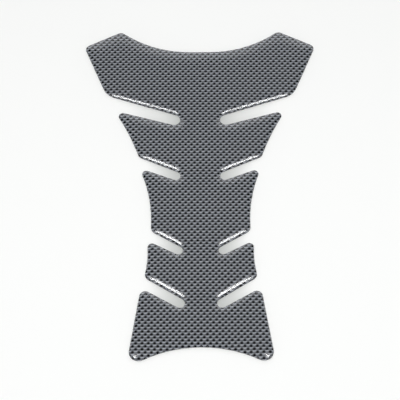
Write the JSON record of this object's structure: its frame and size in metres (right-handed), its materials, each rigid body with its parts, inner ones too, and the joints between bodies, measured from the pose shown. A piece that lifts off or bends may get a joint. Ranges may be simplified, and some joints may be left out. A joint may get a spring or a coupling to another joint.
{
  "type": "motorcycle tank pad",
  "caption": "Slim spine-and-rib tank pad: carbon-weave print on a self-adhesive film under a low dome of clear resin.",
  "frame": {"origin": "middle of the adhesive back, on the surface the pad lies on", "axes": "+X across the pad, +Y along it to its wide top end, +Z out of its face"},
  "size_m": [0.14, 0.215, 0.0023],
  "materials": {
    "printed_film": "printed carbon weave, dark grey and near black",
    "clear_resin": "clear, high gloss"
  },
  "bodies": {
    "root": {"printed_film": "printed_film", "resin_dome": "clear_resin"}
  },
  "joints": []
}
